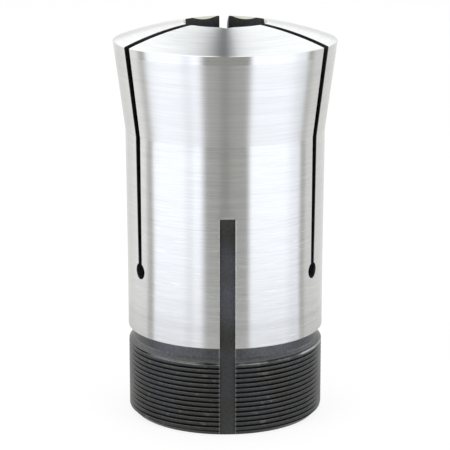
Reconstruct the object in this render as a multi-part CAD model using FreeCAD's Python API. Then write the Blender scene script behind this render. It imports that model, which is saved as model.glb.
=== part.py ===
import FreeCAD, Part
import os
from math import cos, radians, sin, sqrt, tan

# A hex collet, turned, slit and sprung open from one piece of spring steel.
# It stands on its threaded end: the origin is the centre of that end face,
# +Z runs along the axis to the nose, and the keyway faces -Y.
# All sizes are in millimetres.

# Threaded end
bearing_diameter = 50.5
thread_undersize = 0.2
thread_length = 19.0
end_chamfer = 1.45

# Relief between the thread and the ground bearing
relief_depth = 1.35
relief_length = 3.95

# Heights of the body, one above the other
bearing_length = 17.05
jaw_body_length = 34.6
taper_length = 22.85

# Head
taper_half_angle = 7.0
face_radius = 80.7
edge_break = 0.2

# Jaws, which stand open by the set that the spring temper gives them
jaw_count = 3
jaw_set = 0.52
slot_width = 1.5
slot_hole_diameter = 4.0

# Bores
hex_across_flats = 19.05
hex_length = 34.0
hex_mouth_break = 0.65
hex_runout_clearance = 0.3
body_wall = 3.0
shoulder_slope = 30.0
rear_mouth_chamfer = 0.4

# Keyway, cut by a disc cutter that leaves a curved run-out at its top
keyway_width = 3.97
keyway_depth = 1.5
keyway_length = 56.4
keyway_cutter_diameter = 38.0

# Cutting solids run this far past the faces that they open
overrun = 2.0

# Radii
bearing_radius = bearing_diameter / 2
thread_radius = bearing_radius - thread_undersize / 2
relief_radius = bearing_radius - relief_depth
rear_bore_radius = bearing_radius - body_wall
slot_hole_radius = slot_hole_diameter / 2

# Heights above the thread end
relief_top = thread_length + relief_length
slot_hole_height = relief_top + bearing_length
taper_start = slot_hole_height + jaw_body_length
head_edge_height = taper_start + taper_length
shoulder_top = head_edge_height - hex_length

# Directions: a jaw's middle is 60 degrees from the slots beside it
half_jaw_angle = radians(180.0 / jaw_count)
hex_side_angle = radians(60.0)


def jaw_opening(height):
    """How far a jaw stands out at a height: none at the slot holes, the full set at the head edge."""
    return jaw_set * (height - slot_hole_height) / (head_edge_height - slot_hole_height)


def outer_growth(height):
    """Growth of the outside radius there, as seen square to the axis half-way round a jaw."""
    return jaw_opening(height) * cos(half_jaw_angle / 2)


def hex_inradius(height):
    """Half of the distance across the bore's flats, which open with the jaws."""
    return hex_across_flats / 2 + jaw_opening(height) * cos(half_jaw_angle / 2)


def slot_half_width(height):
    """Half of a slot's width, which grows as its two jaws move apart."""
    return slot_width / 2 + jaw_opening(height) * sin(half_jaw_angle)


head_radius = bearing_radius + taper_length * tan(radians(taper_half_angle)) + outer_growth(head_edge_height)
face_edge_radius = head_radius - edge_break
face_centre_height = head_edge_height - sqrt(face_radius ** 2 - face_edge_radius ** 2)


def face_height(radius):
    """Height of the domed face at a radius."""
    return face_centre_height + sqrt(face_radius ** 2 - radius ** 2)


def point(radius, height):
    """A point of a profile, in the plane that is turned about the axis."""
    return FreeCAD.Vector(radius, 0, height)


def lines(points):
    """Straight edges from each point to the next."""
    return [Part.LineSegment(a, b).toShape() for a, b in zip(points, points[1:])]


def turned(edges):
    """The solid that a closed profile sweeps about the axis."""
    profile = Part.Face(Part.Wire(edges))
    return profile.revolve(FreeCAD.Vector(0, 0, 0), FreeCAD.Vector(0, 0, 1), 360)


def about_axis(shape, angle):
    """A copy of a shape turned about the collet's axis by an angle in degrees."""
    copy = shape.copy()
    copy.rotate(FreeCAD.Vector(0, 0, 0), FreeCAD.Vector(0, 0, 1), angle)
    return copy


def blank():
    """The outside: end chamfer, thread land, relief, bearing, body, taper and domed face."""
    relief_depth_at_thread = thread_radius - relief_radius
    taper_slope = (head_radius - bearing_radius - outer_growth(taper_start)) / taper_length
    face_edge = point(face_edge_radius, face_height(face_edge_radius))
    face_middle = point(face_edge_radius / 2, face_height(face_edge_radius / 2))
    apex = point(0, face_height(0))
    side = [
        apex,
        point(0, 0),
        point(thread_radius - end_chamfer, 0),
        point(thread_radius, end_chamfer),
        point(thread_radius, thread_length),
        point(relief_radius, thread_length + relief_depth_at_thread),
        point(relief_radius, relief_top),
        point(bearing_radius - edge_break, relief_top),
        point(bearing_radius, relief_top + edge_break),
        point(bearing_radius, slot_hole_height),
        point(bearing_radius + outer_growth(taper_start), taper_start),
        point(head_radius - edge_break * taper_slope, head_edge_height - edge_break),
        face_edge,
    ]
    dome = Part.Arc(face_edge, face_middle, apex).toShape()
    return turned(lines(side) + [dome])


def rear_bore():
    """The through bore behind the grip, with its mouth chamfer and its sloping shoulder."""
    corner_radius = hex_inradius(shoulder_top) / cos(hex_side_angle / 2) + hex_runout_clearance
    slope_height = (rear_bore_radius - corner_radius) * tan(radians(shoulder_slope))
    mouth_radius = rear_bore_radius + rear_mouth_chamfer
    bore = [
        point(0, -overrun),
        point(mouth_radius + overrun, -overrun),
        point(rear_bore_radius, rear_mouth_chamfer),
        point(rear_bore_radius, shoulder_top - slope_height),
        point(corner_radius, shoulder_top),
        point(0, shoulder_top),
        point(0, -overrun),
    ]
    return turned(lines(bore))


def hexagon(height):
    """The bore's outline at a height, with a corner in each slot."""
    corner_radius = hex_inradius(height) / cos(hex_side_angle / 2)
    turns = [k * hex_side_angle for k in range(7)]
    corners = [FreeCAD.Vector(corner_radius * sin(a), corner_radius * cos(a), height) for a in turns]
    return Part.Wire(lines(corners))


def hex_bore():
    """The gripping bore: a hexagon that opens towards the nose with the jaws."""
    low = hexagon(shoulder_top - overrun)
    high = hexagon(face_height(0) + overrun)
    return Part.makeLoft([low, high], True, True)


def hex_mouth():
    """The cone that breaks the middle of each flat's edge at the face."""
    mouth_radius = hex_inradius(head_edge_height) + hex_mouth_break
    mouth_height = face_height(mouth_radius)
    depth = 2 * hex_mouth_break
    base = FreeCAD.Vector(0, 0, mouth_height - depth)
    return Part.makeCone(mouth_radius - depth, mouth_radius + overrun, depth + overrun, base)


def slot():
    """One slot towards +Y: a wedge that widens to the nose, and the drilled hole that it ends in."""
    top = face_height(0) + overrun
    low = slot_half_width(slot_hole_height)
    high = slot_half_width(top)
    outline = [
        FreeCAD.Vector(-low, 0, slot_hole_height),
        FreeCAD.Vector(low, 0, slot_hole_height),
        FreeCAD.Vector(high, 0, top),
        FreeCAD.Vector(-high, 0, top),
        FreeCAD.Vector(-low, 0, slot_hole_height),
    ]
    reach = FreeCAD.Vector(0, head_radius + overrun, 0)
    wedge = Part.Face(Part.Wire(lines(outline))).extrude(reach)
    hole_start = FreeCAD.Vector(0, 0, slot_hole_height)
    hole = Part.makeCylinder(slot_hole_radius, reach.Length, hole_start, FreeCAD.Vector(0, 1, 0))
    return wedge.fuse(hole)


def keyway():
    """The keyway towards -Y: a flat-floored groove and the disc cutter's run-out above it."""
    floor = bearing_radius - keyway_depth
    cutter_radius = keyway_cutter_diameter / 2
    run_out = sqrt(cutter_radius ** 2 - (cutter_radius - keyway_depth) ** 2)
    cutter_height = keyway_length - run_out
    corner = FreeCAD.Vector(-keyway_width / 2, -floor - keyway_depth - overrun, -overrun)
    groove = Part.makeBox(keyway_width, keyway_depth + overrun, cutter_height + overrun, corner)
    centre = FreeCAD.Vector(-keyway_width / 2, -floor - cutter_radius, cutter_height)
    cutter = Part.makeCylinder(cutter_radius, keyway_width, centre, FreeCAD.Vector(1, 0, 0))
    return groove.fuse(cutter)


def collet():
    """The finished collet, one solid."""
    slots = [about_axis(slot(), k * 360.0 / jaw_count) for k in range(jaw_count)]
    body = blank().cut([rear_bore(), hex_bore(), hex_mouth(), keyway()] + slots)
    return body.removeSplitter()


os.makedirs("parts", exist_ok=True)
shape = collet()
shape.Solids[0].exportStep("parts/collet.step")
print("collet:", len(shape.Solids), "solid, valid", shape.isValid())
print("volume:", round(shape.Volume), "mm3")
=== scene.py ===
from math import asin, cos, pi, radians, sin, sqrt, tan

import bmesh
import bpy
import numpy as np
from bpy.props import FloatProperty, FloatVectorProperty, IntProperty, PointerProperty
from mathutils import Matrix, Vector


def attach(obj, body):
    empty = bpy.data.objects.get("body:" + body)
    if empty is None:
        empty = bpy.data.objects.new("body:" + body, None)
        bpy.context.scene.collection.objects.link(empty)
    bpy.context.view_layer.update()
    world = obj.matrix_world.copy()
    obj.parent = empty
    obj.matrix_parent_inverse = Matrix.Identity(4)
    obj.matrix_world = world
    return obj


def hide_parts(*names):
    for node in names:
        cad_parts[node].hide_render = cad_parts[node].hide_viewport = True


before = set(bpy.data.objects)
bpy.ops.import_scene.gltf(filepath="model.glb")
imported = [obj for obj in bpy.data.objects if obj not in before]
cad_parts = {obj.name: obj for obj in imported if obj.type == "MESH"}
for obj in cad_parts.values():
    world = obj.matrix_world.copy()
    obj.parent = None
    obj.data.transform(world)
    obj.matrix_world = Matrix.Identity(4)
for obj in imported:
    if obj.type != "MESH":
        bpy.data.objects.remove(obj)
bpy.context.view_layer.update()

# A hex collet: turned steel nose and jaws, ground bearing, blackened thread, keyway, slots and bores.
# It stands on its threaded end, +Z runs to the nose and the keyway faces -Y. Lengths are in metres.

bl_info = {
    "name": "Hex collet",
    "version": (1, 0, 0),
    "blender": (4, 5, 0),
    "location": "3D View > Sidebar > Collet",
    "description": "Builds the finished skin of a three-jaw hex collet, its finishes and its studio",
    "category": "Add Mesh",
}


def size(name, default, description):
    """A length property in metres."""
    return FloatProperty(
        name=name, description=description, default=default, min=0.0, precision=5, unit="LENGTH")


def share(name, default, description, high=1.0):
    """A plain factor property."""
    return FloatProperty(name=name, description=description, default=default, min=0.0, max=high, precision=3)


def angle(name, default, description):
    """An angle property in radians."""
    return FloatProperty(name=name, description=description, default=default, subtype="ANGLE")


def tint(name, default, description):
    """A linear colour property."""
    return FloatVectorProperty(
        name=name, description=description, default=default, subtype="COLOR", size=3, min=0.0, max=1.0)


class ColletSizes(bpy.types.PropertyGroup):
    """The collet's sizes."""
    bearing_radius: size("Bearing radius", 0.02525, "Radius of the ground bearing and the jaws' body")
    thread_radius: size("Thread radius", 0.02515, "Radius over the thread's crests")
    thread_top: size("Thread top", 0.019, "Height of the thread's last crest")
    thread_pitch: size("Thread pitch", 0.00127, "Advance of the thread in one turn")
    thread_depth: size("Thread depth", 0.00044, "Depth of the thread's groove")
    thread_start: size("Thread start", 0.00256, "Height of a groove's middle on the keyway's line")
    end_chamfer: size("End chamfer", 0.00145, "Chamfer at the threaded end")
    relief_radius: size("Relief radius", 0.0239, "Radius of the relief above the thread")
    relief_top: size("Relief top", 0.02295, "Height of the bearing's lower edge")
    slot_hole_height: size("Slot hole height", 0.040, "Height of the hole that ends each slot")
    slot_hole_radius: size("Slot hole radius", 0.002, "Radius of that hole")
    slot_width: size("Slot width", 0.0015, "Width of a slot at its hole")
    jaw_set: size("Jaw set", 0.00052, "How far a jaw stands out at the head edge")
    taper_start: size("Taper start", 0.0746, "Height where the head's taper starts")
    head_edge: size("Head edge", 0.09745, "Height of the head's edge")
    taper_angle: angle("Taper angle", radians(7.0), "Half angle of the head's taper")
    face_radius: size("Face radius", 0.0807, "Radius of the domed face")
    edge_break: size("Edge break", 0.0002, "Break of the turned edges")
    hex_across_flats: size("Across flats", 0.01905, "Distance across the flats of the hex bore")
    hex_length: size("Hex length", 0.034, "Depth of the hex bore below the head edge")
    hex_mouth_break: size("Mouth break", 0.00065, "Cone break of the hex bore's flats at the face")
    hex_clearance: size("Hex clearance", 0.0003, "Run-out clearance behind the hex bore")
    rear_bore_radius: size("Rear bore radius", 0.02225, "Radius of the through bore")
    shoulder_slope: angle("Shoulder slope", radians(30.0), "Slope behind the grip")
    rear_chamfer: size("Rear chamfer", 0.0004, "Chamfer at the rear bore's mouth")
    keyway_width: size("Keyway width", 0.00397, "Width of the keyway")
    keyway_depth: size("Keyway depth", 0.0015, "Depth of the keyway below the bearing")
    keyway_top: size("Keyway top", 0.0564, "Height of the keyway's top")
    keyway_cutter: size("Keyway cutter", 0.019, "Radius of the disc that cut the keyway")
    deburr: size("Deburr", 0.0001, "Break of the slots' and keyway's edges")
    side_columns: IntProperty(
        name="Columns", description="Columns of the skin beside the keyway's own", default=33, min=8, max=60)


class ColletFinish(bpy.types.PropertyGroup):
    """The collet's finishes."""
    steel: tint("Steel", (0.66, 0.662, 0.662), "Colour of the bright steel")
    ground_roughness: share("Ground roughness", 0.25, "Roughness of the ground bearing and lower body")
    body_roughness: share("Body roughness", 0.245, "Roughness of the jaws' body")
    taper_roughness: share("Taper roughness", 0.30, "Roughness of the turned taper")
    band_roughness: share("Head band roughness", 0.20, "Roughness of the head's polished band")
    faced_roughness: share("Faced roughness", 0.32, "Roughness of the domed face")
    grain: share("Grain direction", 1.0, "How far the gloss spreads across the lines")
    ground_top: size("Ground top", 0.0534, "Height where the grinding lines end")
    band_bottom: size("Head band bottom", 0.0951, "Height where the head's polished band starts")
    mark_height: size("Mark height", 0.0284, "Height of a faint ring that the spindle left")
    oxide: tint("Black oxide", (0.106, 0.1055, 0.1035), "Colour of the blackened thread and relief")
    milled_oxide: tint("Milled oxide", (0.076, 0.0755, 0.075), "Colour of the black keyway, slots and bores")


class StudioSettings(bpy.types.PropertyGroup):
    """The studio's light and camera."""
    camera_back: size("Camera back", 0.50585, "Distance of the camera from the collet's axis, level")
    camera_height: size("Camera height", 0.17255, "Height of the camera")
    camera_turn: angle("Camera turn", radians(1.4), "Turn of the camera about the axis")
    camera_pitch: angle("Camera pitch", 0.2398, "How far the camera looks down")
    camera_shift: FloatProperty(
        name="Camera shift", description="Sideways, in picture widths", default=-0.15 / 450.0, precision=5)
    lens: FloatProperty(
        name="Lens", description="Focal length for a 36 mm sensor", default=160.77, min=10.0, unit="CAMERA")
    studio_level: share("Studio level", 1.0, "Level of the whole studio as the steel reflects it", 5.0)
    table_radius: size("Table radius", 0.10, "Radius of the pale table that the steel reflects")


# The skin

# Angle from a jaw's middle to the slot beside it
HALF_JAW = pi / 3
# Finishes by number, as the skin's faces carry them
GROUND, BODY, TAPER, BAND, FACE, MOUTH, BLACK, MILLED = range(8)
# Columns over the keyway, in shares of its half width; the outermost are double, for its walls
KEY_STEPS = (-1.0, -1.0, -0.6, -0.2, 0.0, 0.2, 0.6, 1.0, 1.0)
KEY_COLUMNS = len(KEY_STEPS)
# Inside, in shares of the angle to the slot: the keyway's columns, and the first beyond them
INSIDE_MIDDLE, INSIDE_BESIDE = 0.06, 0.08
# Rows up one side of a slot's drilled hole, and columns across a slot's wall
HOLE_ROWS, WALL_COLUMNS = 15, 6
# Millimetres: the relief's upper corner, and how far outside the mouth the hexagon's height is read
RELIEF_CORNER, MOUTH_REACH = 0.25, 0.8
# Millimetres: least distance of a keyway's cell from the outside and from the rear bore
KEY_SINK, KEY_OUTSIDE_BORE = 0.006, 0.4
# Metres: points nearer than this are one, and shorter edges are dropped
MERGE, SHORTEST = 4e-7, 2e-7
# Edges between faces that meet at a wider angle are sharp
SMOOTH_UNDER = radians(25.0)


def pitch_rows(s):
    """Offsets from a groove's middle and depths there, for one pitch of a 60 degree thread."""
    half_root, ease = 0.05, 0.09
    run = s.depth * tan(radians(30.0))
    edge = half_root + run
    slope = s.depth / run
    rest = s.pitch / 2 - edge - ease
    profile = (
        (0.0, s.depth),
        (half_root, s.depth),
        (half_root + run * 0.4, s.depth * 0.6),
        (edge - ease * 0.5, slope * ease * 0.5),
        (edge - ease * 0.15, slope * ease * 0.24),
        (edge + ease * 0.4, slope * ease * 0.07),
        (edge + ease, 0.0),
        (edge + ease + rest * 0.6, 0.0),
    )
    offsets, depths = np.array(profile).T
    return np.concatenate([-offsets[:0:-1], offsets]), np.concatenate([depths[:0:-1], depths])


class Sizes:
    """The sizes in millimetres, with the lengths that follow from them."""

    def __init__(self, p, f):
        mm = 1000.0
        self.r_bear, self.r_thread = p.bearing_radius * mm, p.thread_radius * mm
        self.r_relief = p.relief_radius * mm
        self.z_thread, self.z_relief = p.thread_top * mm, p.relief_top * mm
        self.pitch, self.depth, self.start = p.thread_pitch * mm, p.thread_depth * mm, p.thread_start * mm
        self.chamfer = p.end_chamfer * mm
        self.z_hole, self.r_hole = p.slot_hole_height * mm, p.slot_hole_radius * mm
        self.half_slot = p.slot_width * mm / 2
        self.set = p.jaw_set * mm
        self.z_taper, self.z_head = p.taper_start * mm, p.head_edge * mm
        self.edge_break = p.edge_break * mm
        self.r_dome = p.face_radius * mm
        self.inradius = p.hex_across_flats * mm / 2
        self.z_shoulder = (p.head_edge - p.hex_length) * mm
        self.mouth_break, self.clearance = p.hex_mouth_break * mm, p.hex_clearance * mm
        self.r_bore, self.rear_chamfer = p.rear_bore_radius * mm, p.rear_chamfer * mm
        self.half_key, self.key_floor = p.keyway_width * mm / 2, (p.bearing_radius - p.keyway_depth) * mm
        self.z_key, self.r_cutter = p.keyway_top * mm, p.keyway_cutter * mm
        self.z_cutter = self.z_key - sqrt(self.r_cutter ** 2 - (self.r_cutter - p.keyway_depth * mm) ** 2)
        self.deburr = p.deburr * mm
        widened = (self.z_head - self.z_taper) * tan(p.taper_angle)
        self.r_head = self.r_bear + widened + self.growth(self.z_head)
        self.r_face = self.r_head - self.edge_break
        self.z_dome = self.z_head - sqrt(self.r_dome ** 2 - self.r_face ** 2)
        self.r_clear = self.flat(self.z_shoulder) / cos(pi / 6) + self.clearance
        self.z_slope = self.z_shoulder - (self.r_bore - self.r_clear) * tan(p.shoulder_slope)
        self.r_mouth = self.flat(self.z_head) + self.mouth_break
        self.columns = p.side_columns
        self.z_ground, self.z_band = f.ground_top * mm, f.band_bottom * mm

    def opening(self, z):
        """Outward travel of a jaw: the set, in proportion to the height above the slot holes."""
        return self.set * (z - self.z_hole) / (self.z_head - self.z_hole)

    def growth(self, z):
        """Growth of the outside radius half-way round a jaw: the jaw's travel times cos 30 degrees."""
        return np.maximum(self.opening(z), 0.0) * cos(pi / 6)

    def flat(self, z):
        """Distance from the axis to a flat of the hex bore."""
        return self.inradius + self.opening(z) * cos(pi / 6)

    def corner(self, z):
        """Angle from a jaw's middle to the edge between the hex bore and the slot's wall."""
        wedge = self.half_wedge(z)
        return HALF_JAW - np.arctan(wedge * cos(pi / 6) / (self.flat(z) - wedge / 2))

    def half_wedge(self, z):
        """Half of a slot's width: half of the cut and the jaws' sideways travel."""
        return self.half_slot + self.opening(z) * sin(pi / 3)

    def face(self, r):
        """Height of the domed face: its centre's height + sqrt(dome radius squared - r squared)."""
        return self.z_dome + np.sqrt(self.r_dome ** 2 - r ** 2)

    def body(self, z):
        """Outside radius above the relief: straight with the jaws' growth, then the taper as a straight
        line to the head edge."""
        start = self.r_bear + self.growth(self.z_taper)
        taper = start + (z - self.z_taper) * (self.r_head - start) / (self.z_head - self.z_taper)
        return np.where(z > self.z_taper, taper, self.r_bear + self.growth(z))

    def eased_body(self, turn, z):
        """The same radius at any turn, less the break of the bearing's lower edge."""
        return self.body(z) - np.clip(self.z_relief + self.edge_break - z, 0.0, None)

    def relief(self, turn, z):
        """Outside radius of the relief and the chamfer in its upper corner, at any turn."""
        return self.r_relief + np.clip(z - self.z_relief + RELIEF_CORNER, 0.0, RELIEF_CORNER)

    def floor(self, z):
        """Distance from the axis to the keyway's floor: flat, then the arc of the disc cutter."""
        up = np.clip(z - self.z_cutter, 0.0, self.r_cutter)
        return self.key_floor + self.r_cutter - np.sqrt(self.r_cutter ** 2 - up ** 2)

    def threaded(self, turn, z):
        """Outside radius below the relief: the least of the helical thread, the end chamfer and the chamfer
        up to the relief. The thread's depth is read off one pitch at the height less the helix's rise,
        pitch times turn over a full turn."""
        offsets, depths = pitch_rows(self)
        rise = z - self.start - self.pitch * turn / (2 * pi)
        phase = (rise + self.pitch / 2) % self.pitch - self.pitch / 2
        thread = self.r_thread - np.interp(phase, offsets, depths, left=0.0, right=0.0)
        chamfered = np.minimum(self.r_thread - self.chamfer + z, self.r_thread + self.z_thread - z)
        return np.minimum(thread, chamfered)


def hole_arc(s, radius, half_width):
    """Heights and half widths up one side of a slot's drilled hole, up to the slot.
    Height = centre - R cos t and half width = R sin t."""
    end = pi - asin(half_width / radius)
    t = np.linspace(0.0, end, HOLE_ROWS)
    return s.z_hole - radius * np.cos(t), radius * np.sin(t)


def stepped(start, *stretches):
    """Heights in stretches of even steps. A stretch is its last height and its number of steps."""
    heights = [start]
    for end, steps in stretches:
        heights.extend(np.linspace(heights[-1], end, steps + 1)[1:])
    return np.array(heights)


def outline_rows(s):
    """The heights that the jaw's outside and inside share above the slot holes, with half of the opening's
    width at each. The row at the shoulder is double. Returns outside heights and half widths, inside
    heights and half widths."""
    slot_end = s.half_wedge(s.z_hole + s.r_hole)
    z_in, w_in = hole_arc(s, s.r_hole, slot_end)
    z_out, w_out = hole_arc(s, s.r_hole + s.deburr, slot_end + s.deburr)
    over_hole, under_key, near_key, over_key = 3.0, 1.0, 0.3, 0.1
    above = stepped(
        s.z_hole + over_hole, (s.z_cutter, 3), (s.z_ground, 4), (s.z_key - under_key, 4),
        (s.z_key - near_key, 4), (s.z_key, 6), (s.z_key + over_key, 1), (s.z_slope, 1), (s.z_shoulder, 3),
        (s.z_shoulder, 1), (s.z_taper, 5), (s.z_band, 8), (s.z_head - s.edge_break, 3))
    w_above = s.half_wedge(above)
    return (
        np.concatenate([z_out, above]), np.concatenate([w_out, w_above + s.deburr]),
        np.concatenate([z_in, above]), np.concatenate([w_in, w_above]),
    )


def side_angles(s, half_angle):
    """Angles of the columns of the outside, from one slot to the next, a row to each half angle: even steps
    up to the keyway's edges, then the keyway's own columns."""
    half_angle = np.asarray(half_angle)[:, None]
    near = asin((s.half_key + s.deburr) / s.r_bear)
    right = near + (half_angle - near) * np.linspace(0.0, 1.0, s.columns + 1)[None, :]
    inner = np.arcsin(np.array(KEY_STEPS) * s.half_key / s.r_bear)
    inner = np.broadcast_to(inner, (len(half_angle), KEY_COLUMNS))
    return np.concatenate([-right[:, ::-1], inner, right], axis=1)


def outside_points(s, turn_middle, z, half_angle, radius_of, keyed):
    """Places of the outside's rows: x = r sin a and y = r cos a about the jaw's middle, with the keyway's
    columns held square to it. radius_of(turn, z) gives the radius; the keyway's floor is the lesser of the
    surface and floor(z)."""
    a = side_angles(s, half_angle)
    z = np.broadcast_to(z if z.ndim == 2 else z[:, None], a.shape)
    r = radius_of(turn_middle + a, z)
    x, y = r * np.sin(a), r * np.cos(a)
    first = s.columns + 1
    last = first + KEY_COLUMNS - 1
    x[:, first - 1], x[:, last + 1] = -s.half_key - s.deburr, s.half_key + s.deburr
    x[:, first:last + 1] = np.sin(a[:, first:last + 1]) * s.r_bear
    held = slice(first - 1, last + 2)
    y[:, held] = np.sqrt(r[:, held] ** 2 - x[:, held] ** 2)
    if keyed:
        inside = slice(first, last + 1)
        surface = y[:, inside].copy()
        y[:, inside] = np.minimum(surface, s.floor(z[:, inside]))
        for column in (first, last):
            y[:, column] = np.maximum(y[:, column], surface[:, column - first] - s.deburr)
    return x, y, z


def place(x, y, z, middle):
    """Turns a jaw's own places, x across and y out from the axis, to its middle's direction."""
    return np.stack([y * cos(middle) - x * sin(middle), y * sin(middle) + x * cos(middle), z], axis=-1)


class JawSkin:
    """One third of the skin as a closed run of rows, from the threaded end up the outside, over the face
    and down the bore. Each row carries the finish of the cells between it and the row before it, and
    starts holds the row that each part starts with."""

    def __init__(self, s, middle, turn_middle, keyed):
        self.s, self.middle, self.turn_middle, self.keyed = s, middle, turn_middle, keyed
        self.rows, self.finishes, self.starts = [], [], {}
        beside = np.linspace(INSIDE_BESIDE, 1, s.columns + 1)
        inner = np.linspace(-INSIDE_MIDDLE, INSIDE_MIDDLE, KEY_COLUMNS)
        self.even = np.concatenate([-beside[::-1], inner, beside])

    def add(self, points, finish):
        """Adds rows of places with one finish."""
        self.rows.append(points)
        self.finishes.extend([finish] * len(points))

    def start(self, part):
        """Notes the row that a part starts with."""
        self.starts[part] = len(self.finishes)

    def around(self, a, r, z, finish):
        """Adds rows by their angles from the jaw's middle: x = r sin a and y = r cos a."""
        self.add(place(r * np.sin(a), r * np.cos(a), np.broadcast_to(z, a.shape), self.middle), finish)

    def rings(self, r, z, finish):
        """Adds level rings from slot line to slot line."""
        a = np.broadcast_to(self.even * HALF_JAW, (len(r), len(self.even)))
        self.around(a, np.array(r)[:, None], np.array(z)[:, None], finish)

    def outside(self, z, half_angle, radius_of, finish):
        """Adds rows of the outside, which reach the half angle to each side."""
        half_angle = np.broadcast_to(half_angle, len(z))
        points = outside_points(self.s, self.turn_middle, z, half_angle, radius_of, self.keyed)
        self.add(place(*points, self.middle), finish)

    def thread(self):
        """The thread: its rows follow the helix, and stop at the end face and at the relief."""
        s = self.s
        offsets, _ = pitch_rows(s)
        top = s.z_thread + s.r_thread - s.r_relief
        spare = 3
        pitches = np.arange(-spare, int(top / s.pitch) + spare)
        level = np.unique(np.round(s.start + s.pitch * pitches[:, None] + offsets[None, :], 9))
        a = side_angles(s, np.full(len(level), HALF_JAW))
        rise = s.pitch * (self.turn_middle + a) / (2 * pi)
        self.outside(np.clip(level[:, None] + rise, 0.0, top), HALF_JAW, s.threaded, BLACK)
        self.outside(np.array([top, s.z_relief - RELIEF_CORNER, s.z_relief]), HALF_JAW, s.relief, BLACK)

    def jaw(self, z_out, w_out):
        """The bearing up to the slot holes, and the jaw between two slots."""
        s = self.s
        edge = s.z_relief + s.edge_break
        low = np.concatenate([[s.z_relief, edge], np.linspace(edge, z_out[0], 7)[1:-1]])
        self.outside(low, HALF_JAW, s.eased_body, GROUND)
        self.start("outside")
        self.outside(z_out, HALF_JAW - np.arcsin(w_out / s.body(z_out)), s.eased_body, GROUND)

    def face(self):
        """The domed face, from its edge to the bore's mouth. Its columns pass from the outside's angles to
        the hexagon's, and its sides follow the slots. Returns the heights down its side edge and those
        round the mouth."""
        s = self.s
        z_mouth = s.face(s.r_mouth + MOUTH_REACH)
        a_in = self.even * s.corner(z_mouth)
        r_flat = s.flat(z_mouth) / np.cos(np.abs(a_in) - pi / 6)
        r_in = np.maximum(r_flat, s.r_mouth)
        first, second = 0.012, 0.03
        step = np.concatenate([[0.0, first], np.linspace(second, 1.0, 17)])[:, None]
        r = s.r_face + (r_in[None, :] - s.r_face) * step
        z = s.face(r)
        half = HALF_JAW - np.arcsin((s.half_wedge(z) + s.deburr * (1 - step ** 8)) / r)
        outer = side_angles(s, [HALF_JAW - asin((s.half_wedge(s.z_head) + s.deburr) / s.r_face)])
        a = ((1 - step) * outer / outer[:, -1:] + step * self.even[None, :]) * half
        a[-1] = a_in
        self.start("face")
        self.around(a, r, z, FACE)
        broken = s.face(s.r_mouth) - (s.r_mouth - r_flat)
        return z[:, -1], np.where(r_flat < s.r_mouth, broken, s.face(r_in))

    def bores(self, z_in, w_in, z_side, z_mouth):
        """The mouth's break and the hex bore down to the shoulder, then the shoulder and the rear bore."""
        s = self.s
        z_edge = np.concatenate([z_in[z_in >= s.z_shoulder][1:], z_side])[::-1]
        drop = (z_edge - s.z_shoulder) / (z_edge[0] - s.z_shoulder)
        z = s.z_shoulder + drop[:, None] * (z_mouth[None, :] - s.z_shoulder)
        a = s.corner(z_edge)[:, None] * self.even[None, :]
        self.start("bore")
        self.around(a, s.flat(z) / np.cos(np.abs(a) - pi / 6), z, MILLED)
        self.finishes[self.starts["bore"]] = MOUTH
        below = z_in[z_in <= s.z_shoulder][:-1][::-1]
        sloped = s.r_clear + (s.z_shoulder - below) * (s.r_bore - s.r_clear) / (s.z_shoulder - s.z_slope)
        r = np.where(below > s.z_slope, sloped, s.r_bore)
        half = HALF_JAW - np.arcsin(w_in[np.searchsorted(z_in, below)] / r)
        self.around(half[:, None] * self.even[None, :], r[:, None], below[:, None], MILLED)
        self.start("end")
        lowest = 0.5
        levels = [*np.linspace(below[-1], lowest, 7)[1:], s.rear_chamfer, 0.0]
        self.rings([s.r_bore] * 7 + [s.r_bore + s.rear_chamfer], levels, MILLED)

    def build(self):
        """All the rows in turn. Returns the places (rows, columns, 3) and the finish of each row."""
        s = self.s
        self.rings([s.r_bore + s.rear_chamfer], [0.0], MILLED)
        self.thread()
        z_out, w_out, z_in, w_in = outline_rows(s)
        self.jaw(z_out, w_out)
        z_side, z_mouth = self.face()
        self.bores(z_in, w_in, z_side, z_mouth)
        return np.concatenate(self.rows), np.array(self.finishes)


def slot_wall(s, edge_out, edge_in, middle, side):
    """A slot's wall between the jaw's outer and inner edges, ruled straight across the wall, with a narrow
    deburred strip outside, as wide as the deburr."""
    line = middle + side * HALF_JAW
    along = np.array([cos(line), sin(line), 0.0])
    across = np.array([-sin(line), cos(line), 0.0]) * -side
    reach, z_out = edge_out @ along, edge_out[:, 2]
    step_reach, step_z = np.gradient(reach), np.gradient(z_out)
    length = np.hypot(step_reach, step_z)
    length[length == 0] = 1.0
    w_out, w_in = edge_out @ across, edge_in @ across
    least_strip = 1e-6
    broken = w_out - w_in > least_strip
    inwards = s.deburr * broken / length
    hole = z_out < s.z_hole + s.r_hole
    z_strip = np.where(hole, edge_in[:, 2], z_out + inwards * step_reach)
    w_strip = np.where(broken, np.where(hole, w_in, s.half_wedge(z_strip)), w_out)
    start = (reach - inwards * step_z)[:, None] * along + w_strip[:, None] * across
    start[:, 2] = z_strip
    v = np.linspace(0.0, 1.0, WALL_COLUMNS)[None, :, None]
    wall = start[:, None, :] * (1 - v) + edge_in[:, None, :] * v
    return np.concatenate([edge_out[:, None, :], wall], axis=1)


def grid_faces(rows, columns, first):
    """Quads of a grid of rows and columns whose points start at number first."""
    i, j = np.meshgrid(np.arange(rows - 1), np.arange(columns - 1), indexing="ij")
    p = first + i * columns + j
    return np.stack([p, p + 1, p + columns + 1, p + columns], axis=-1).reshape(-1, 4)


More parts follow.
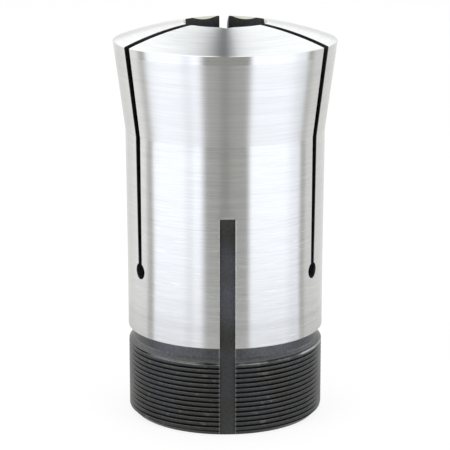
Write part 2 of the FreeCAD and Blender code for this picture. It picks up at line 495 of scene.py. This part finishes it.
def in_keyway(s, x, y, z):
    """Which cells of the front jaw lie in the keyway, by the places of their middles."""
    under = np.hypot(x, y) < s.body(z) - KEY_SINK
    inside = (np.abs(x) < s.half_key) & under & (z < s.z_key) & (np.abs(y) > s.r_bore + KEY_OUTSIDE_BORE)
    inside[:, :s.columns] = False
    inside[:, s.columns + 1 + KEY_COLUMNS:] = False
    return inside


def collet_mesh(s):
    """The whole skin: three jaws and six slot walls. Returns places in metres, faces and their finishes."""
    points, faces, finishes = [], [], []

    def add(grid, finish, flip):
        """Adds a grid of places, with the finish of its cells."""
        quads = grid_faces(*grid.shape[:2], sum(len(run) for run in points))
        points.append(grid.reshape(-1, 3))
        faces.append(quads[:, ::-1] if flip else quads)
        finishes.append(np.broadcast_to(finish, (grid.shape[0] - 1, grid.shape[1] - 1)).ravel())

    for direction, turn in ((-90.0, 0.0), (30.0, 120.0), (150.0, -120.0)):
        front = turn == 0.0
        jaw = JawSkin(s, radians(direction), radians(turn), front)
        skin, rows = jaw.build()
        x, y, z = np.moveaxis((skin[:-1, :-1] + skin[1:, 1:]) / 2, -1, 0)
        by_height = np.select([z > s.z_band, z > s.z_taper, z > s.z_ground], [BAND, TAPER, BODY], GROUND)
        finish = np.where(rows[1:, None] == GROUND, by_height, rows[1:, None])
        if front:
            finish = np.where(in_keyway(s, x, y, z), MILLED, finish)
        add(skin, finish, False)
        outer = skin[jaw.starts["outside"]:jaw.starts["bore"]]
        inner = skin[jaw.starts["bore"]:jaw.starts["end"]][::-1]
        for column, side in ((0, -1), (-1, 1)):
            add(slot_wall(s, outer[:, column], inner[:, column], jaw.middle, side), MILLED, side < 0)
    return np.concatenate(points) / 1000.0, np.concatenate(faces), np.concatenate(finishes)


def mesh_object(name, points, faces, finishes, materials):
    """Puts arrays into a mesh object, merges doubles, drops faces without area and marks sharp edges:
    between a dark and a bright finish, and where faces meet at a wide angle."""
    mesh = bpy.data.meshes.new(name)
    mesh.vertices.add(len(points))
    mesh.vertices.foreach_set("co", points.astype(np.float32).ravel())
    mesh.loops.add(faces.size)
    mesh.loops.foreach_set("vertex_index", faces.ravel().astype(np.int32))
    mesh.polygons.add(len(faces))
    mesh.polygons.foreach_set("loop_start", np.arange(0, faces.size, 4, dtype=np.int32))
    for material in materials:
        mesh.materials.append(material)
    mesh.polygons.foreach_set("material_index", finishes.astype(np.int32))
    mesh.update(calc_edges=True)
    work = bmesh.new()
    work.from_mesh(mesh)
    bmesh.ops.remove_doubles(work, verts=work.verts, dist=MERGE)
    bmesh.ops.dissolve_degenerate(work, edges=work.edges, dist=SHORTEST)
    for edge in work.edges:
        alike = len({face.material_index in (BLACK, MILLED) for face in edge.link_faces}) == 1
        edge.smooth = alike and edge.calc_face_angle(0.0) < SMOOTH_UNDER
    work.to_mesh(mesh)
    work.free()
    mesh.polygons.foreach_set("use_smooth", np.ones(len(mesh.polygons), bool))
    mesh.update()
    piece = bpy.data.objects.new(name, mesh)
    bpy.context.scene.collection.objects.link(piece)
    return piece


# Finishes

def feed(tree, value, target):
    """Gives an input another node's output by a link, or a plain value of its own."""
    if hasattr(value, "is_output"):
        tree.links.new(value, target)
    else:
        target.default_value = value


def node(tree, kind, **values):
    """A shader node with its settings; a value named in_ and a number goes to the input of that number."""
    made = tree.nodes.new("ShaderNode" + kind)
    for key, value in values.items():
        if key.startswith("in_"):
            feed(tree, value, made.inputs[int(key[3:])])
        else:
            setattr(made, key, value)
    return made


def math(tree, operation, *values):
    """A Math node's output; each value is a socket or a number."""
    made = node(tree, "Math", operation=operation)
    for value, target in zip(values, made.inputs):
        feed(tree, value, target)
    return made.outputs[0]


def vector(tree, operation, *values):
    """A Vector Math node's outputs; each value is a socket or a vector."""
    made = node(tree, "VectorMath", operation=operation)
    for value, target in zip(values, made.inputs):
        feed(tree, value, target)
    return made.outputs


def scaled(tree, colour, factor):
    """A colour or place times a number."""
    made = node(tree, "VectorMath", operation="SCALE", in_0=colour)
    feed(tree, factor, made.inputs["Scale"])
    return made.outputs[0]


def ranged(tree, value, low, high, out_low=0.0, out_high=1.0):
    """A value's smooth step from low to high."""
    made = node(tree, "MapRange", interpolation_type="SMOOTHSTEP", in_0=value)
    for label, number in (("From Min", low), ("From Max", high), ("To Min", out_low), ("To Max", out_high)):
        made.inputs[label].default_value = number
    return made.outputs[0]


def near(tree, value, middle, low, high, level=1.0):
    """The level where a value is less than low from the middle, and a smooth fall to nothing at high."""
    away = math(tree, "ABSOLUTE", math(tree, "SUBTRACT", value, middle))
    return ranged(tree, away, low, high, level, 0.0)


def blended(tree, factor, first, second, kind="MIX"):
    """The first colour, mixed with the second or multiplied by it as far as the factor says."""
    mix = node(tree, "Mix", data_type="RGBA", blend_type=kind, in_0=factor, in_6=first, in_7=second)
    return mix.outputs[2]


def noise_at(tree, spot, detail=2.0, roughness=0.5):
    """Noise at a place that is already in units of its own features."""
    noise = node(tree, "TexNoise")
    for label, value in (("Vector", spot), ("Scale", 1.0), ("Detail", detail), ("Roughness", roughness)):
        feed(tree, value, noise.inputs[label])
    return noise.outputs[0]


def object_place(tree):
    """The place on the object, whole and as its three parts."""
    where = node(tree, "TexCoord").outputs["Object"]
    return where, node(tree, "SeparateXYZ", in_0=where).outputs


def from_axis(tree, where):
    """A place's level vector from the collet's axis, and its length."""
    level = vector(tree, "MULTIPLY", where, (1.0, 1.0, 0.0))[0]
    return level, vector(tree, "LENGTH", level)["Value"]


def group_of(name, inputs, outputs):
    """A node group with its inputs, as (label, kind, default), and its outputs, as (label, kind)."""
    group = bpy.data.node_groups.new(name, "ShaderNodeTree")
    for label, kind, default in inputs:
        socket = group.interface.new_socket(name=label, in_out="INPUT", socket_type="NodeSocket" + kind)
        socket.default_value = default
    for label, kind in outputs:
        group.interface.new_socket(name=label, in_out="OUTPUT", socket_type="NodeSocket" + kind)
    return group, group.nodes.new("NodeGroupInput").outputs, group.nodes.new("NodeGroupOutput").inputs


# Turned steel: how far the lines swing the colour, what scratches add, and the gloss's share of it
LINE_SWING, SCRATCH_SWING, GLOSS_SWING = 4.0, 1.6, 0.1
# Share of the fine lines beside the broad ones, and the noise's levels over which a scratch comes up
FINE_SHARE, SCRATCH_LEVELS = 0.75, (0.66, 0.74)
# Blackened skin: its two tints, its patches and grain to a metre, and how its grain and gloss swing
BROWN_TINT, BLUE_TINT = (0.94, 0.93, 0.88, 1.0), (1.04, 1.06, 1.12, 1.0)
PATCH_SCALE, GRAIN_SCALE, GRAIN_SWING, GLOSS_RISE = 90.0, 1600.0, 3.0, 0.08
# Blackened thread: the painted shade's level at the roots, the levels of the thread and of the relief
# above it, and the relief's tint
ROOT_SHADE_LEVEL, THREAD_AND_RELIEF, RELIEF_TINT = 0.3, (0.68, 1.05), (0.97, 1.0, 1.08, 1.0)
# Rub and painted highlights: their colour, and how far it covers the crests (worn, with painted glints),
# the keyway's edges and the last crest's lip (painted highlights)
RUBBED_AND_HIGHLIGHT, CREST_WEAR_AND_GLINT_SHARE, KEY_EDGE_HIGHLIGHT_SHARE, LIP_HIGHLIGHT_SHARE = (0.42, 0.42, 0.42, 1.0), 0.22, 0.5, 0.8
# Flecks and patches to a metre that break up the crests' wear and glints and the lip's painted highlight
FLECK_SCALE, LIP_HIGHLIGHT_SCALE = 420.0, 160.0
# Tint of the painted reflection on the milled skin, where it is painted lighter and bluer
PAINTED_SHEEN_TINT = (1.58, 1.63, 1.82, 1.0)


def turned_finish():
    """Lathe and grinding lines: noise that is long round the axis and fine along the profile, which is the
    height, or on the face the radius, with sparse scratches. Colour, roughness and height follow the same
    lines."""
    group, given, result = group_of("turned_finish", (
        ("Colour", "Color", (0.6, 0.6, 0.6, 1.0)), ("Contrast", "Float", 0.1), ("Roughness", "Float", 0.3),
        ("Fineness", "Float", 4000.0), ("Length", "Float", 8.0), ("Face", "Float", 0.0),
        ("Scratches", "Float", 0.0),
    ), (("Colour", "Color"), ("Roughness", "Float"), ("Height", "Float")))
    where, (_, _, height) = object_place(group)
    level, radius = from_axis(group, where)
    unit = vector(group, "NORMALIZE", level)[0]
    across, out, _ = node(group, "SeparateXYZ", in_0=unit).outputs
    along = node(group, "Mix", data_type="FLOAT", in_0=given["Face"], in_2=height, in_3=radius)

    def lines(fine, long):
        """Places that noise draws out into lines round the axis."""
        length = math(group, "MULTIPLY", given["Length"], long)
        spots = (
            math(group, "MULTIPLY", across, length),
            math(group, "MULTIPLY", out, length),
            math(group, "MULTIPLY", along.outputs[0], math(group, "MULTIPLY", given["Fineness"], fine)),
        )
        return node(group, "CombineXYZ", in_0=spots[0], in_1=spots[1], in_2=spots[2]).outputs[0]

    fine = noise_at(group, lines(1.0, 1.0), 3.0, 0.7)
    broad = noise_at(group, lines(0.18, 0.5))
    scratch = ranged(group, noise_at(group, lines(0.8, 1.6), 1.0), *SCRATCH_LEVELS)
    mixed = math(group, "MULTIPLY_ADD", fine, FINE_SHARE, math(group, "MULTIPLY", broad, 1.0 - FINE_SHARE))
    swing = math(group, "MULTIPLY", math(group, "SUBTRACT", mixed, 0.5), LINE_SWING)
    scratch = math(group, "MULTIPLY", scratch, given["Scratches"])
    swing = math(group, "MULTIPLY_ADD", scratch, SCRATCH_SWING, swing)
    toned = scaled(group, given["Colour"], math(group, "MULTIPLY_ADD", swing, given["Contrast"], 1.0))
    uneven = math(group, "MULTIPLY", given["Contrast"], GLOSS_SWING)
    feed(group, toned, result["Colour"])
    feed(group, math(group, "MULTIPLY_ADD", swing, uneven, given["Roughness"]), result["Roughness"])
    feed(group, mixed, result["Height"])
    return group


def oxide_skin():
    """The blackened skin: a mottled near black that drifts between brown and blue, with slightly uneven
    gloss and grain."""
    group, given, result = group_of("oxide_skin", (
        ("Colour", "Color", (0.02, 0.02, 0.02, 1.0)), ("Mottle", "Float", 0.3), ("Roughness", "Float", 0.4),
    ), (("Colour", "Color"), ("Roughness", "Float"), ("Height", "Float")))
    where, _ = object_place(group)
    patch = ranged(group, noise_at(group, scaled(group, where, PATCH_SCALE), 3.0), 0.35, 0.65)
    grain = noise_at(group, scaled(group, where, GRAIN_SCALE))
    tints = blended(group, patch, BROWN_TINT, BLUE_TINT)
    toned = vector(group, "MULTIPLY", given["Colour"], tints)[0]
    swing = math(group, "MULTIPLY", given["Mottle"], GRAIN_SWING)
    swing = math(group, "MULTIPLY", math(group, "SUBTRACT", grain, 0.5), swing)
    feed(group, scaled(group, toned, math(group, "ADD", swing, 1.0)), result["Colour"])
    feed(group, math(group, "MULTIPLY_ADD", patch, GLOSS_RISE, given["Roughness"]), result["Roughness"])
    feed(group, grain, result["Height"])
    return group


def blank_material(name):
    """A node material with its Principled shader and output, and nothing else."""
    material = bpy.data.materials.new(name)
    material.use_nodes = True
    tree = material.node_tree
    tree.nodes.clear()
    shader = node(tree, "BsdfPrincipled")
    node(tree, "OutputMaterial", in_0=shader.outputs[0])
    return material, tree, shader


def placed(tree, group, **values):
    """A node group placed in a material with its own values."""
    made = node(tree, "Group", node_tree=group)
    for label, value in values.items():
        made.inputs[label].default_value = value
    return made.outputs


def finished(tree, shader, colour, marks, strength, distance):
    """Joins a metal's colour, and the roughness and height of its marks, to its shader."""
    relief = node(tree, "Bump")
    relief.inputs["Strength"].default_value = strength
    relief.inputs["Distance"].default_value = distance
    feed(tree, marks["Height"], relief.inputs["Height"])
    feed(tree, relief.outputs[0], shader.inputs["Normal"])
    feed(tree, colour, shader.inputs["Base Color"])
    feed(tree, marks["Roughness"], shader.inputs["Roughness"])
    shader.inputs["Metallic"].default_value = 1.0


def steel_material(name, finish, bump, grain, rings=(), **values):
    """Bright steel whose gloss spreads across its turning lines. values go to the finish; rings are faint
    darker bands round it: (height, half width, depth)."""
    material, tree, shader = blank_material(name)
    marks = placed(tree, finish, **values)
    colour = marks["Colour"]
    if rings:
        _, (_, _, z) = object_place(tree)
        for height, half, depth in rings:
            away = math(tree, "ABSOLUTE", math(tree, "SUBTRACT", z, height))
            colour = scaled(tree, colour, ranged(tree, away, 0.0, half, 1.0 - depth, 1.0))
    shader.inputs["Anisotropic"].default_value = grain
    shader.inputs["Anisotropic Rotation"].default_value = 0.25
    tangent = node(tree, "Tangent", direction_type="RADIAL", axis="Z")
    feed(tree, tangent.outputs[0], shader.inputs["Tangent"])
    finished(tree, shader, colour, marks, bump, 0.00001)
    return material


def thread_tones(tree, colour, root, crest, top, half_key, flank):
    """The blackened colour by radius and height: darker on the thread, with painted shade towards its roots,
    and bluer on the relief. Flecks on the crests are rubbed bright, as wear and as painted glints, and
    painted highlights lie on the last crest's lip and along the keyway's edges."""
    where, (x, y, z) = object_place(tree)
    _, radius = from_axis(tree, where)
    # Painted shade: the colour darkens towards the thread's roots, up to the thread's top
    root_shade = ranged(tree, radius, root, crest - 0.00004, ROOT_SHADE_LEVEL, 1.0)
    over_thread = ranged(tree, z, top - 0.0002, top)
    colour = scaled(tree, colour, math(tree, "MAXIMUM", root_shade, over_thread))
    relief = (top + flank - 0.0003, top + flank)
    colour = scaled(tree, colour, ranged(tree, z, *relief, *THREAD_AND_RELIEF))
    colour = blended(tree, ranged(tree, z, *relief), colour, RELIEF_TINT, "MULTIPLY")
    # Worn crests and painted glints: bright flecks on the crests
    crests = ranged(tree, radius, crest - 0.00005, crest)
    flecks = ranged(tree, noise_at(tree, scaled(tree, where, FLECK_SCALE), 3.0, 0.65), 0.56, 0.72)
    crest_wear_and_glint = math(tree, "MULTIPLY", math(tree, "MULTIPLY", crests, flecks), CREST_WEAR_AND_GLINT_SHARE)
    # Painted highlight along the keyway's edges, on the front
    beside_key_highlight = near(tree, math(tree, "ABSOLUTE", x), half_key + 0.00005, 0.00006, 0.00016, KEY_EDGE_HIGHLIGHT_SHARE)
    key_edge_highlight = math(tree, "MULTIPLY", beside_key_highlight, ranged(tree, y, -0.02, -0.018, 1.0, 0.0))
    # Painted highlight on the last crest's lip, in patches
    lip = near(tree, z, top - 0.0001, 0.00012, 0.0003, LIP_HIGHLIGHT_SHARE)
    patches = ranged(tree, noise_at(tree, scaled(tree, where, LIP_HIGHLIGHT_SCALE)), 0.4, 0.6)
    lip_highlight = math(tree, "MULTIPLY", lip, patches)
    # The crests' wear and glints and the painted highlights, together
    wear_and_highlight = math(tree, "MAXIMUM", crest_wear_and_glint, math(tree, "MAXIMUM", lip_highlight, key_edge_highlight))
    return blended(tree, wear_and_highlight, colour, RUBBED_AND_HIGHLIGHT)


def oxide_material(name, skin, colour, roughness, mottle, thread=None, painted_sheen=None):
    """Blackened steel, which reflects as dark metal. thread is (root radius, crest radius, top height,
    keyway's half width, flank) where the skin is on the thread. The last argument is (height, half width)
    of a painted reflection: the skin is painted lighter and bluer there."""
    material, tree, shader = blank_material(name)
    marks = placed(tree, skin, Colour=(*colour, 1.0), Mottle=mottle, Roughness=roughness)
    toned = marks["Colour"]
    if thread:
        toned = thread_tones(tree, toned, *thread)
    if painted_sheen:
        # Painted reflection: a band of lighter, bluer skin round one height
        height, half = painted_sheen
        _, (_, _, z) = object_place(tree)
        toned = blended(tree, near(tree, z, height, half * 0.3, half), toned, PAINTED_SHEEN_TINT, "MULTIPLY")
    finished(tree, shader, toned, marks, 0.2, 0.00003)
    return material


def skin_materials(p, f):
    """The skin's materials, in the order of the finishes' numbers."""
    finish, skin = turned_finish(), oxide_skin()
    steel, mouth = (*f.steel, 1.0), (0.45, 0.44, 0.37, 1.0)
    spindle_mark, ground_end = (f.mark_height, 0.0016, 0.06), (f.ground_top, 0.0003, 0.08)
    thread = (
        p.thread_radius - p.thread_depth, p.thread_radius, p.thread_top, p.keyway_width / 2,
        p.thread_radius - p.relief_radius)
    return [
        steel_material("ground_steel", finish, 0.1, f.grain, (spindle_mark,), Colour=steel, Scratches=0.9,
                       Roughness=f.ground_roughness, Contrast=0.10, Fineness=3400.0, Length=3.2),
        steel_material("body_steel", finish, 0.04, f.grain, (ground_end,), Colour=steel,
                       Roughness=f.body_roughness, Contrast=0.11, Fineness=3400.0, Length=2.4),
        steel_material("taper_steel", finish, 0.06, f.grain, Colour=steel,
                       Roughness=f.taper_roughness, Contrast=0.12, Fineness=3400.0, Length=1.6),
        steel_material("head_band_steel", finish, 0.05, f.grain, Colour=steel,
                       Roughness=f.band_roughness, Contrast=0.08, Fineness=4000.0, Length=1.5),
        steel_material("faced_steel", finish, 0.15, f.grain, Colour=steel, Face=1.0,
                       Roughness=f.faced_roughness, Contrast=0.17, Fineness=3000.0, Length=2.0),
        steel_material("mouth_steel", finish, 0.15, 0.5, Colour=mouth, Face=1.0,
                       Roughness=0.4, Contrast=0.05, Fineness=3000.0, Length=4.0),
        # The thread's skin carries painted shade at its roots and painted highlights on its crests and edges
        oxide_material("black_oxide", skin, f.oxide, 0.28, 0.3, thread=thread),
        # The milled skin has a painted reflection: lighter and bluer round 38 mm up
        oxide_material("milled_oxide", skin, f.milled_oxide, 0.40, 0.25, painted_sheen=(0.038, 0.014)),
    ]


# Operators

class COLLET_OT_body(bpy.types.Operator):
    """Builds the collet's finished skin in place of its plain solid."""
    bl_idname = "collet.body"
    bl_label = "Collet body"

    def execute(self, context):
        p, f = context.scene.collet_sizes, context.scene.collet_finish
        piece = mesh_object("collet_skin", *collet_mesh(Sizes(p, f)), skin_materials(p, f))
        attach(piece, "root")
        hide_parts("collet")
        return {"FINISHED"}


# The studio as the steel sees it: a pale backdrop all round, and panels over it in turn. A panel is the
# angle at which it starts and half of that edge's width, the same for its end, its level and its tint.
# Angles are degrees round from the keyway's side.
COOL, PLAIN, WARM, WHITE = (0.925, 0.95, 1.01), (1.0, 0.995, 0.98), (1.0, 1.0, 0.93), (1.0, 1.0, 1.0)
BACKDROP = 0.88
PANELS = (
    # the backdrop's brighter part on the left
    (-138.0, 14.0, -104.0, 2.0, 1.08, PLAIN),
    # the dim room: beside the soft boxes, and behind the camera
    (-104.0, 2.0, 104.5, 2.0, 0.51, WARM),
    (-60.0, 10.0, 60.0, 10.0, 0.38, WARM),
    # the left soft box and the seam in its cloth
    (-93.5, 2.5, -27.0, 5.5, 1.65, COOL),
    (-48.0, 5.0, -39.0, 4.0, 1.38, COOL),
    # the right soft box and its weaker far part
    (26.4, 3.5, 94.0, 3.0, 1.66, COOL),
    (78.0, 8.0, 94.0, 3.0, 1.38, COOL),
)
# Overhead panels to the left and right and their tint
OVERHEAD, OVERHEAD_TINT = (1.76, 1.66), (0.97, 0.99, 1.0)
# Where they pass into each other, and the heights over which they take over from the sides
OVERHEAD_PASS, OVERHEAD_RISE = (-0.3, 0.1), (0.14, 0.44)
# The dark gap between them
GAP_MIDDLE, GAP_EDGE, GAP_SHARE = -0.018, (0.04, 0.125), 0.92
# Lit sheet low behind the collet, by how nearly a direction points straight back
BACK_SHEET, BACK_EDGE, BACK_RISE = 1.55, (0.86, 0.95), (0.08, 0.28)
# Table near the collet and the shares of its radius over which it ends, and the level that matt surfaces
# get
TABLE, TABLE_END, MATT_LEVEL = 0.64, (0.85, 1.2), 0.75
# Floor: its own paleness, the share of it that is plain white to the camera, and its rings and points round
FLOOR_PALE, FLOOR_WHITE, FLOOR_RINGS, FLOOR_POINTS = 0.92, 0.85, 25, 97
# Area lamps: name, place, width and power. They point at the middle of the collet
LAMPS = (
    ("lamp_left", (-0.9, -0.7, 0.5), 0.6, 5.0),
    ("lamp_right", (0.9, -0.7, 0.5), 0.6, 5.0),
    ("lamp_top", (0.0, 0.2, 1.2), 0.8, 6.0),
)
LAMPS_AIM = Vector((0.0, 0.0, 0.05))


def coloured(level, hue):
    """A colour of a level and a hue."""
    return (*(level * part for part in hue), 1.0)


def shaders_mixed(tree, factor, first, second):
    """A mix of two shaders."""
    return node(tree, "MixShader", in_0=factor, in_1=first, in_2=second).outputs[0]


class COLLET_OT_studio(bpy.types.Operator):
    """Sets up the floor, the soft studio light and the camera."""
    bl_idname = "collet.studio"
    bl_label = "Studio"

    def execute(self, context):
        st = context.scene.collet_studio
        scene = context.scene
        scene.view_settings.view_transform = "Standard"
        self.camera(scene, st)
        self.floor(st)
        self.world(scene, st)
        self.lamps(scene)
        return {"FINISHED"}

    def camera(self, scene, st):
        """The camera, nearly in front of the keyway and looking down a little."""
        camera = bpy.data.cameras.new("camera")
        camera.lens, camera.sensor_width = st.lens, 36.0
        camera.shift_x = st.camera_shift
        camera.clip_start, camera.clip_end = 0.01, 50.0
        eye = bpy.data.objects.new("camera", camera)
        turn, pitch = st.camera_turn, st.camera_pitch
        eye.location = (-st.camera_back * sin(turn), -st.camera_back * cos(turn), st.camera_height)
        eye.rotation_mode = "QUATERNION"
        look = Vector((sin(turn) * cos(pitch), cos(turn) * cos(pitch), -sin(pitch)))
        eye.rotation_quaternion = look.to_track_quat("-Z", "Y")
        scene.collection.objects.link(eye)
        scene.camera = eye

    def floor(self, st):
        """A round pale floor, level with the threaded end, in rings that grow outwards. The steel reflects
        only the table near it."""
        r = np.concatenate([[0.0], np.geomspace(0.02, 6.0, FLOOR_RINGS - 1)])[:, None]
        a = np.linspace(0.0, 2 * pi, FLOOR_POINTS)[None, :]
        grid = np.stack([r * np.cos(a), r * np.sin(a), np.zeros_like(r * a)], axis=-1)
        quads = grid_faces(FLOOR_RINGS, FLOOR_POINTS, 0)[:, ::-1]
        material, tree, shader = blank_material("pale_floor")
        tree.nodes.remove(shader)
        output = next(n for n in tree.nodes if n.type == "OUTPUT_MATERIAL")
        path = node(tree, "LightPath").outputs
        white = node(tree, "Emission", in_0=coloured(1.0, WHITE), in_1=1.0).outputs[0]
        matt = node(tree, "BsdfDiffuse", in_0=coloured(FLOOR_PALE, WHITE)).outputs[0]
        level = TABLE * st.studio_level
        table = node(tree, "Emission", in_0=coloured(1.0, WHITE), in_1=level).outputs[0]
        nothing = node(tree, "BsdfTransparent").outputs[0]
        pale = shaders_mixed(tree, math(tree, "MULTIPLY", path["Is Camera Ray"], FLOOR_WHITE), matt, white)
        pale = shaders_mixed(tree, path["Is Glossy Ray"], pale, table)
        where, _ = object_place(tree)
        away = vector(tree, "LENGTH", where)["Value"]
        beyond = ranged(tree, away, *(st.table_radius * part for part in TABLE_END))
        unseen = math(tree, "MULTIPLY", beyond, path["Is Glossy Ray"])
        feed(tree, shaders_mixed(tree, unseen, pale, nothing), output.inputs[0])
        mesh_object("floor", grid.reshape(-1, 3), quads, np.zeros(len(quads)), [material])

    def world(self, scene, st):
        """White to the camera and plain grey to matt surfaces. The steel sees the studio, by direction."""
        world = bpy.data.worlds.new("studio")
        scene.world = world
        world.use_nodes = True
        tree = world.node_tree
        tree.nodes.clear()
        direction = node(tree, "TexCoord").outputs["Generated"]
        x, y, z = node(tree, "SeparateXYZ", in_0=direction).outputs
        turn = math(tree, "ARCTAN2", x, math(tree, "MULTIPLY", y, -1.0))
        turn = math(tree, "MULTIPLY", turn, 180.0 / pi)
        studio = coloured(BACKDROP * st.studio_level, PLAIN)
        for start, start_edge, end, end_edge, level, hue in PANELS:
            after = ranged(tree, turn, start - start_edge, start + start_edge)
            before = ranged(tree, turn, end - end_edge, end + end_edge, 1.0, 0.0)
            panel = math(tree, "MULTIPLY", after, before)
            studio = blended(tree, panel, studio, coloured(level * st.studio_level, hue))
        sheet = math(tree, "MULTIPLY", ranged(tree, y, *BACK_EDGE), ranged(tree, z, *BACK_RISE))
        studio = blended(tree, sheet, studio, coloured(BACK_SHEET * st.studio_level, WHITE))
        from_gap = math(tree, "ABSOLUTE", math(tree, "SUBTRACT", x, GAP_MIDDLE))
        lit = ranged(tree, from_gap, *GAP_EDGE, 1.0 - GAP_SHARE, 1.0)
        levels = ranged(tree, x, *OVERHEAD_PASS, *(level * st.studio_level for level in OVERHEAD))
        overhead = scaled(tree, OVERHEAD_TINT, math(tree, "MULTIPLY", levels, lit))
        studio = blended(tree, ranged(tree, z, *OVERHEAD_RISE), studio, overhead)
        path = node(tree, "LightPath").outputs
        shown = blended(tree, path["Is Glossy Ray"], coloured(MATT_LEVEL, WHITE), studio)
        unseen = math(tree, "MAXIMUM", path["Is Camera Ray"], path["Is Transmission Ray"])
        shown = blended(tree, unseen, shown, coloured(1.0, WHITE))
        back = node(tree, "Background", in_0=shown).outputs[0]
        node(tree, "OutputWorld", in_0=back)
        world.cycles.sampling_method = "NONE"

    def lamps(self, scene):
        """Area lamps, which shape the matt surfaces and the floor's shadow. The steel doesn't reflect
        them."""
        for name, spot, width, power in LAMPS:
            lamp = bpy.data.lights.new(name, "AREA")
            lamp.shape, lamp.size, lamp.energy = "SQUARE", width, power
            holder = bpy.data.objects.new(name, lamp)
            holder.location = spot
            holder.rotation_mode = "QUATERNION"
            holder.rotation_quaternion = (LAMPS_AIM - Vector(spot)).to_track_quat("-Z", "Y")
            holder.visible_glossy = False
            scene.collection.objects.link(holder)


class COLLET_PT_panel(bpy.types.Panel):
    """Lists the collet's steps and settings."""
    bl_idname = "COLLET_PT_panel"
    bl_label = "Hex collet"
    bl_space_type = "VIEW_3D"
    bl_region_type = "UI"
    bl_category = "Collet"

    def draw(self, context):
        layout = self.layout
        scene = context.scene
        for operator in (COLLET_OT_body, COLLET_OT_studio):
            layout.operator(operator.bl_idname)
        for label, group in (
            ("Sizes", scene.collet_sizes), ("Finish", scene.collet_finish), ("Studio", scene.collet_studio),
        ):
            box = layout.box()
            box.label(text=label)
            for key in group.__annotations__:
                box.prop(group, key)


CLASSES = (ColletSizes, ColletFinish, StudioSettings, COLLET_OT_body, COLLET_OT_studio, COLLET_PT_panel)


def register():
    for cls in CLASSES:
        bpy.utils.register_class(cls)
    bpy.types.Scene.collet_sizes = PointerProperty(type=ColletSizes)
    bpy.types.Scene.collet_finish = PointerProperty(type=ColletFinish)
    bpy.types.Scene.collet_studio = PointerProperty(type=StudioSettings)


def unregister():
    del bpy.types.Scene.collet_studio
    del bpy.types.Scene.collet_finish
    del bpy.types.Scene.collet_sizes
    for cls in reversed(CLASSES):
        bpy.utils.unregister_class(cls)


def main():
    register()
    bpy.ops.collet.body()
    bpy.ops.collet.studio()
    bpy.context.view_layer.update()


if __name__ == "__main__":
    main()
